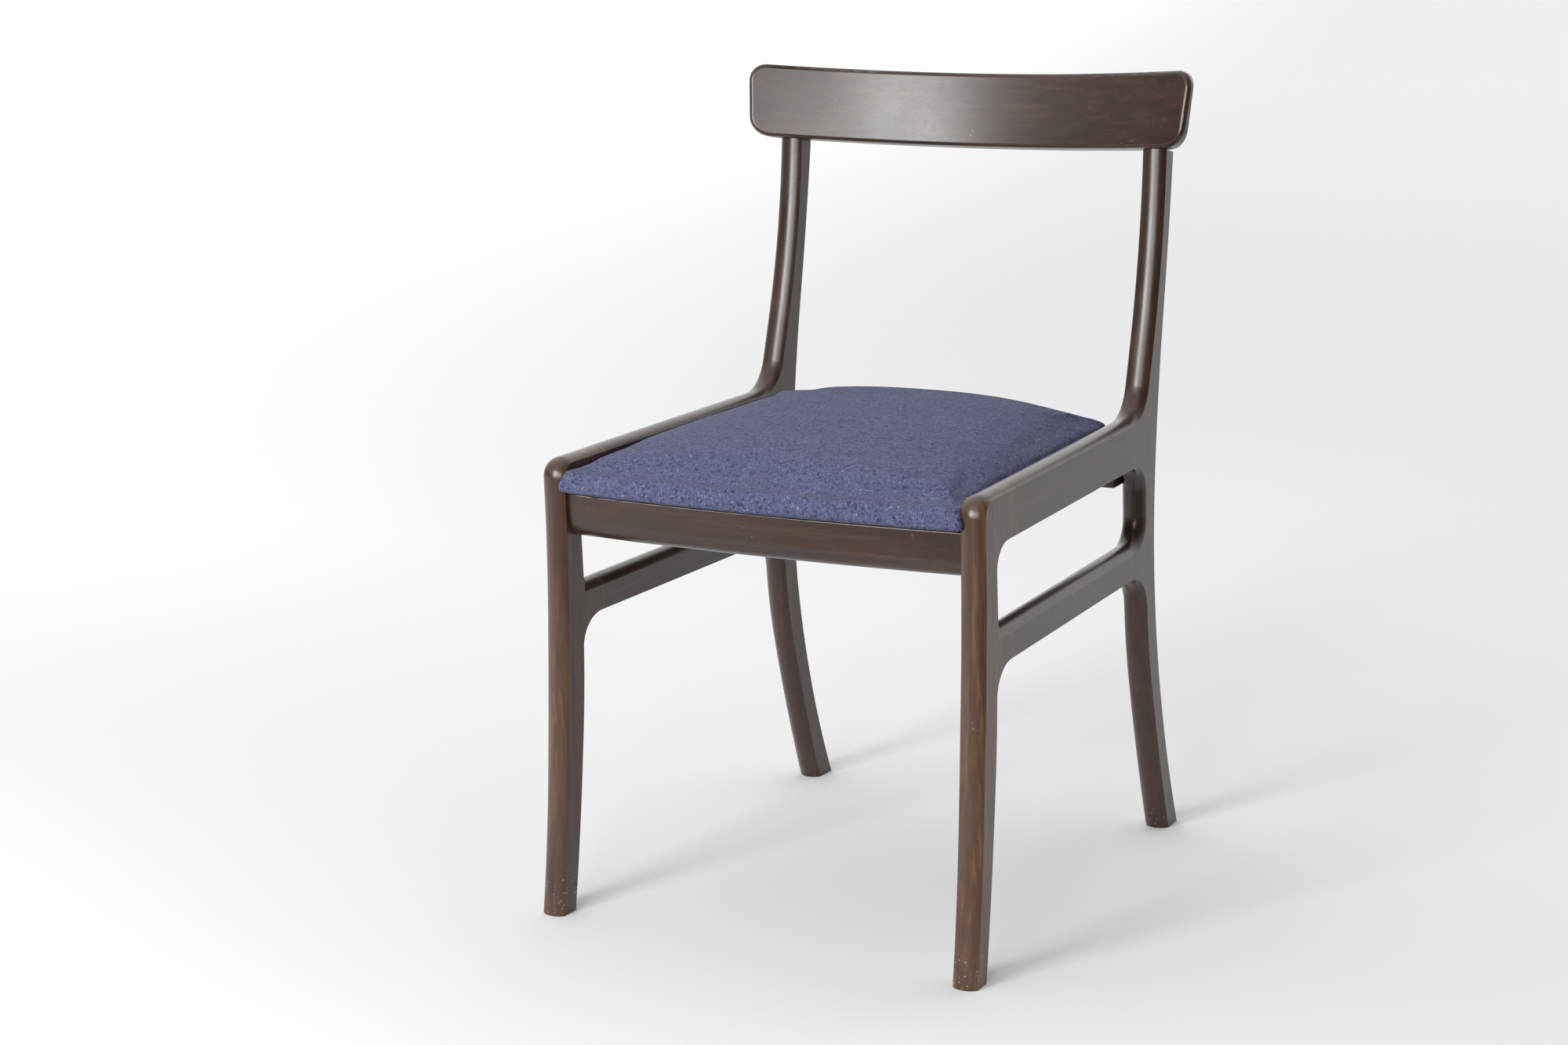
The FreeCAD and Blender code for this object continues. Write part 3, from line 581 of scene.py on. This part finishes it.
def makeCushionBase(v):
    # a closed box of rows and columns: the crowned top, the flat bottom and the wall between them
    across = v["across"]
    along = v["along"]
    mesh = bmesh.new()
    top = []
    bottom = []
    for j in range(along + 1):
        topRow = []
        bottomRow = []
        for i in range(across + 1):
            p = seatPoint(2 * i / across - 1, j / along, v["startIn"])
            lower = v["startIn"] * min(1, (p.y - coverLow.y) / v["startOver"])
            topRow.append(mesh.verts.new((p.x, p.y, seatHeight(p.x, p.y) - lower)))
            bottomRow.append(mesh.verts.new((p.x, p.y, coverLow.z)))
        top.append(topRow)
        bottom.append(bottomRow)
    for j in range(along):
        for i in range(across):
            near, far = top[j], top[j + 1]
            mesh.faces.new((near[i], near[i + 1], far[i + 1], far[i]))
            near, far = bottom[j], bottom[j + 1]
            mesh.faces.new((far[i], far[i + 1], near[i + 1], near[i]))
    rim = [(0, i) for i in range(across + 1)]
    rim += [(j, across) for j in range(1, along + 1)]
    rim += [(along, i) for i in range(across - 1, -1, -1)]
    rim += [(j, 0) for j in range(along - 1, 0, -1)]
    for (j0, i0), (j1, i1) in zip(rim, rim[1:] + rim[:1]):
        mesh.faces.new((bottom[j0][i0], bottom[j1][i1], top[j1][i1], top[j0][i0]))
    bmesh.ops.recalc_face_normals(mesh, faces=mesh.faces)
    return meshObject("seat_cushion", mesh)


def applied(piece):
    # bakes the piece's modifiers into its mesh
    bpy.context.view_layer.update()
    graph = bpy.context.evaluated_depsgraph_get()
    fresh = bpy.data.meshes.new_from_object(piece.evaluated_get(graph))
    piece.modifiers.clear()
    old = piece.data
    piece.data = fresh
    bpy.data.meshes.remove(old)


def dressed(piece, material):
    for polygon in piece.data.polygons:
        polygon.use_smooth = True
    piece.data.materials.clear()
    piece.data.materials.append(material)


def remesh(piece, size):
    modifier = piece.modifiers.new("even", "REMESH")
    modifier.mode = "VOXEL"
    modifier.voxel_size = size
    modifier.use_smooth_shade = True
    applied(piece)


def blowUp(piece, v):
    # air pressure fills the cover; the tacked lower edge stays where it is
    start = [vert.co.copy() for vert in piece.data.vertices]
    held = piece.vertex_groups.new(name="tacked")
    for vert in piece.data.vertices:
        low = (vert.co.z - coverLow.z) / v["tackedOver"]
        held.add([vert.index], max(0.0, min(1.0, v["tackedFull"] - low)), "REPLACE")
    cloth = piece.modifiers.new("cloth", "CLOTH")
    cloth.settings.quality = 6
    cloth.settings.mass = 0.25
    cloth.settings.tension_stiffness = 30
    cloth.settings.compression_stiffness = 30
    cloth.settings.bending_stiffness = 2
    cloth.settings.use_pressure = True
    cloth.settings.uniform_pressure_force = v["pressure"]
    cloth.settings.vertex_group_mass = "tacked"
    cloth.settings.effector_weights.gravity = 0
    cloth.point_cache.frame_end = v["frames"]
    scene = bpy.context.scene
    for step in range(1, v["frames"] + 1):
        scene.frame_set(step)
    graph = bpy.context.evaluated_depsgraph_get()
    blown = [vert.co.copy() for vert in piece.evaluated_get(graph).data.vertices]
    piece.modifiers.clear()
    scene.frame_set(1)
    for vert, before, after in zip(piece.data.vertices, start, blown):
        shift = after - before
        if shift.length > v["puff"]:
            shift = shift * (v["puff"] / shift.length)
        vert.co = before + shift
    piece.vertex_groups.clear()


def awayFromFrame(x, y, z):
    # the loose frame fills the cushion's edge: the cloth is fanned out round it, closest low down
    v = seat
    frameLow, frameHigh = frameBox
    above = min(max((z - frameLow - v["reachFrom"]) / v["reachOver"], 0.0), 1.0)
    reach = v["overLowerEdge"] + (v["overFrame"] - v["overLowerEdge"]) * above
    side = 1 if x > 0 else -1
    inFromSide = seatHalfWidth(y) - v["frameIn"] - abs(x)
    inFromFront = y - seatFrontY(x) - v["frameIn"]
    inFromRear = coverHigh.y - v["frameIn"] - y
    nearest = min(inFromSide, inFromFront, inFromRear)
    if nearest > v["margin"]:
        return x, y, z
    core = v["fanCore"]
    across = max(core - nearest, 0.0)
    up = max(z - frameHigh + core, 0.0)
    if across == 0.0:
        return x, y, max(z, frameHigh + reach)
    if up == 0.0:
        grow = max((core + reach) / across, 1.0)
    else:
        grow = max(roundTheCorner(across, up, core, reach), 1.0)
    out = across * grow - core
    z = z if up == 0.0 else frameHigh - core + up * grow
    if nearest == inFromFront:
        y = seatFrontY(x) + v["frameIn"] - out
    elif nearest == inFromRear:
        y = coverHigh.y - v["frameIn"] + out
    else:
        x = side * (seatHalfWidth(y) - v["frameIn"] + out)
    return x, y, z


def roundTheCorner(across, up, core, reach):
    # how far the ray from the core must grow to meet the rounded corner, found by halving
    grow = min((core + reach) / across, (core + reach) / up)
    if across * grow <= core or up * grow <= core:
        return grow
    low, high = core / max(across, up), grow
    for halving in range(seat["halvings"]):
        middle = (low + high) / 2
        if math.hypot(max(across * middle - core, 0), max(up * middle - core, 0)) < reach:
            low = middle
        else:
            high = middle
    return high


def swollen(x, y, z):
    # the wall turns out at once above its lower edge and back in towards the top
    v = seat
    frameLow, frameHigh = frameBox
    rise = min(max((z - frameLow) / (frameHigh - frameLow), 0.0), 1.0)
    backIn = v["swellLoss"] * max(rise - v["swellHolds"], 0.0) / (1 - v["swellHolds"])
    swell = min(rise / v["swellBy"], 1.0) * (1 - backIn)
    side = 1 if x > 0 else -1
    fromFront = max(y - seatFrontY(x), 0.0)
    fromSide = max(seatHalfWidth(y) - abs(x), 0.0)
    y -= v["frontSwell"] * swell * max(0.0, 1 - fromFront / v["frontReach"])
    corner = math.hypot(fromFront, fromSide) / v["cornerReach"]
    if corner < 1:
        push = v["cornerSwell"] * swell * (1 - corner) ** v["cornerPower"]
        x += side * push * v["cornerOut"][0]
        y -= push * v["cornerOut"][1]
    return x, y, z


seatNeighbours = [
    "front_rail",
    "front_leg_left",
    "front_leg_right",
    "side_rail_left",
    "side_rail_right",
    "rear_rail",
    "rear_leg_left",
    "rear_leg_right",
]


def woodAround():
    points, faces = [], []
    for name in seatNeighbours:
        data = nodes[name].data
        first = len(points)
        points += [nodes[name].matrix_world @ vert.co for vert in data.vertices]
        faces += [[first + k for k in polygon.vertices] for polygon in data.polygons]
    return BVHTree.FromPolygons(points, faces)


def clearOf(wood, place):
    found, normal = wood.find_nearest(place, seat["woodWithin"])[:2]
    if found is not None and (place - found).dot(normal) < seat["gapToWood"]:
        return found + normal * seat["gapToWood"]
    return place


def eased(mesh, verts, factor):
    axes = {"use_axis_x": True, "use_axis_y": True, "use_axis_z": True}
    bmesh.ops.smooth_vert(mesh, verts=verts, factor=factor, **axes)


def fitCushion(piece, v):
    # outside the frame, clear of the wood, and flat where it rests on the rails
    wood = woodAround()
    bed = coverLow.z + v["bedGap"]
    mesh = bmesh.new()
    mesh.from_mesh(piece.data)
    free = []
    for vert in mesh.verts:
        x, y, z = vert.co
        inset = min(seatHalfWidth(y) - abs(x), y - seatFrontY(x), coverHigh.y - y)
        if z < bed + v["hollowBand"] and inset > v["margin"]:
            vert.co.z = coverLow.z + v["hollowRise"]
        elif z < bed + v["lipBand"]:
            spread = v["lipOut"] * max(0.0, 1 - inset / v["margin"])
            if inset == y - seatFrontY(x):
                y -= spread
            elif inset == coverHigh.y - y:
                y += spread
            else:
                x += math.copysign(spread, x)
            vert.co = (x, y, bed)
        else:
            free.append(vert)
            vert.co = awayFromFrame(x, y, z)
    for ease in range(v["eases"]):
        eased(mesh, free, 0.5)
        for vert in free:
            vert.co = awayFromFrame(*vert.co)
    for vert in free:
        vert.co = swollen(*vert.co)
    eased(mesh, free, 0.3)
    for vert in free:
        # twice, for the corners where two pieces of wood meet
        place = clearOf(wood, clearOf(wood, Vector(awayFromFrame(*vert.co))))
        place.z = max(place.z, bed)
        vert.co = place
    mesh.to_mesh(piece.data)
    mesh.free()


def makeCushion(v):
    piece = makeCushionBase(v)
    remesh(piece, v["voxel"])
    blowUp(piece, v)
    smooth = piece.modifiers.new("soften", "SMOOTH")
    smooth.factor = 0.5
    smooth.iterations = 2
    divide = piece.modifiers.new("divide", "SUBSURF")
    divide.levels = 1
    divide.render_levels = 1
    applied(piece)
    fitCushion(piece, v)
    dressed(piece, seatWool)
    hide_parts("seat_cover", "seat_pad")
    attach(piece, "root")
    return piece


frameBox = [corner.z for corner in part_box("seat_frame_front")]
cushion = makeCushion(seat)
print("cushion made", len(cushion.data.polygons))


# Lining: thin black cloth stretched across the underside
liningLow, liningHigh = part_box("seat_lining")
lining = {
    "thick": 0.5 * mm,
    "bow": 3.0 * mm,
    "wave": 0.3 * mm,
    "waves": 5,
    "edgeIn": 1.2 * mm,
    "steps": 40,
}


def liningHalfWidth(y):
    return seatHalfWidth(y) - seat["margin"] - lining["edgeIn"]


def makeLining(v):
    depth = liningHigh.y - liningLow.y
    steps = v["steps"]
    baseZ = liningLow.z + v["thick"] / 2
    mesh = bmesh.new()
    grid = []
    for j in range(steps + 1):
        row = []
        for i in range(steps + 1):
            u = 2 * i / steps - 1
            w = j / steps
            y = liningLow.y + depth * w + v["bow"] * u * u * (1 - w)
            z = baseZ + v["wave"] * noise.noise(Vector((u * v["waves"], w * v["waves"], 0.3)))
            row.append(mesh.verts.new((u * liningHalfWidth(y), y, z)))
        grid.append(row)
    for near, far in zip(grid, grid[1:]):
        for i in range(steps):
            mesh.faces.new((near[i], near[i + 1], far[i + 1], far[i]))
    piece = meshObject("seat_lining_cloth", mesh)
    shell = piece.modifiers.new("thick", "SOLIDIFY")
    shell.thickness = v["thick"]
    shell.offset = 0
    applied(piece)
    dressed(piece, liningCloth)
    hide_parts("seat_lining")
    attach(piece, "root")


makeLining(lining)
print("lining made")


# Floor and lights
studio = {
    "floorSize": 80.0,
    "floorTone": (0.86, 0.86, 0.875, 1),
    "paintedLightLeft": (0.92, 0.92, 0.925, 1),
    "paintedShadeByChair": 0.805,
    "floorFront": (0.10, 0.10, 0.10, 1),
    "farGlow": 0.12,
    "leftGlow": 0.15,
    "world": 1.36,
    "worldFront": 0.08,
    "sunPower": 1.35,
    "sunAngle": 85.0,
    "sunFrom": (-0.55, -0.35, 1.0),
    "lamps": [
        {"place": (-0.89, -3.0, 1.5), "size": (0.95, 1.4), "power": 74.0},
        {"place": (0.35, -3.3, 1.4), "size": (1.6, 1.5), "power": 50.0},
    ],
}


def makeFloor(v):
    half = v["floorSize"] / 2
    corners = [(-half, -half, 0), (half, -half, 0), (half, half, 0), (-half, half, 0)]
    data = bpy.data.meshes.new("studioFloor")
    data.from_pydata(corners, [], [(0, 1, 2, 3)])
    floor = addObject("studioFloor", data)
    material, tree, shader, place = newMaterial("studioPaper")
    apart = put(tree, "ShaderNodeSeparateXYZ")
    feed(tree, apart, 0, place)
    rightward, backward = apart.outputs[0], apart.outputs[1]
    # painted light and shade on the paper: paler towards the camera's left, and a little darker
    # from behind the chair to its front
    leftward = maths(tree, "MULTIPLY", rightward, -0.9)
    leftward = maths(tree, "SUBTRACT", leftward, maths(tree, "MULTIPLY", backward, 0.25))
    tone = mixed(tree, "MIX", ramp(tree, leftward, 0.2, 1.4), v["floorTone"], v["paintedLightLeft"])
    # painted shade: the paper is darkened from behind the chair to its front
    shadeNearChair = ramp(tree, backward, 1.1, -0.2, 1.0, v["paintedShadeByChair"])
    tone = mixed(tree, "MULTIPLY", 1.0, tone, shadeNearChair)
    # dark below the photo's lower edge, so that no pale paper is reflected in the front rail
    frontward = maths(tree, "MULTIPLY", rightward, 0.5)
    frontward = maths(tree, "SUBTRACT", frontward, maths(tree, "MULTIPLY", backward, 0.86))
    tone = mixed(tree, "MIX", ramp(tree, frontward, 0.6, 1.15), tone, v["floorFront"])
    # a faint glow of its own keeps the far and the left paper nearly white
    shader.inputs["Emission Color"].default_value = (1, 1, 1, 1)
    farGlow = ramp(tree, backward, 1.0, 8.0, 0.0, v["farGlow"])
    leftGlow = ramp(tree, leftward, 0.5, 2.2, 0.0, v["leftGlow"])
    feed(tree, shader, "Emission Strength", maths(tree, "ADD", farGlow, leftGlow))
    feed(tree, shader, "Base Color", tone)
    shader.inputs["Roughness"].default_value = 0.85
    shader.inputs["Specular IOR Level"].default_value = 0.1
    data.materials.append(material)


def aimed(lamp, direction):
    lamp.rotation_mode = "QUATERNION"
    lamp.rotation_quaternion = Vector(direction).to_track_quat("-Z", "Y")


chairMiddle = Vector((0, 0, 0.55))


def makeSoftbox(v):
    data = bpy.data.lights.new("softbox", "AREA")
    data.shape = "RECTANGLE"
    data.size, data.size_y = v["size"]
    data.energy = v["power"]
    lamp = addObject("softbox", data)
    lamp.location = v["place"]
    aimed(lamp, chairMiddle - Vector(v["place"]))


def makeSun(v):
    data = bpy.data.lights.new("roomLight", "SUN")
    data.energy = v["sunPower"]
    data.angle = math.radians(v["sunAngle"])
    lamp = addObject("roomLight", data)
    aimed(lamp, -Vector(v["sunFrom"]))


def makeWorld(v):
    # an even pale room, dimmer behind the camera
    world = bpy.data.worlds.new("studioWorld")
    world.use_nodes = True
    tree = world.node_tree
    sky = tree.nodes["Background"]
    place = put(tree, "ShaderNodeTexCoord")
    apart = put(tree, "ShaderNodeSeparateXYZ")
    feed(tree, apart, 0, place.outputs["Generated"])
    level = ramp(tree, apart.outputs[1], -0.2, 0.8, v["worldFront"], v["world"])
    feed(tree, sky, "Strength", level)
    sky.inputs["Color"].default_value = (1, 1, 1, 1)
    bpy.context.scene.world = world


makeFloor(studio)
makeWorld(studio)
for lampValues in studio["lamps"]:
    makeSoftbox(lampValues)
makeSun(studio)
print("floor and lights made")
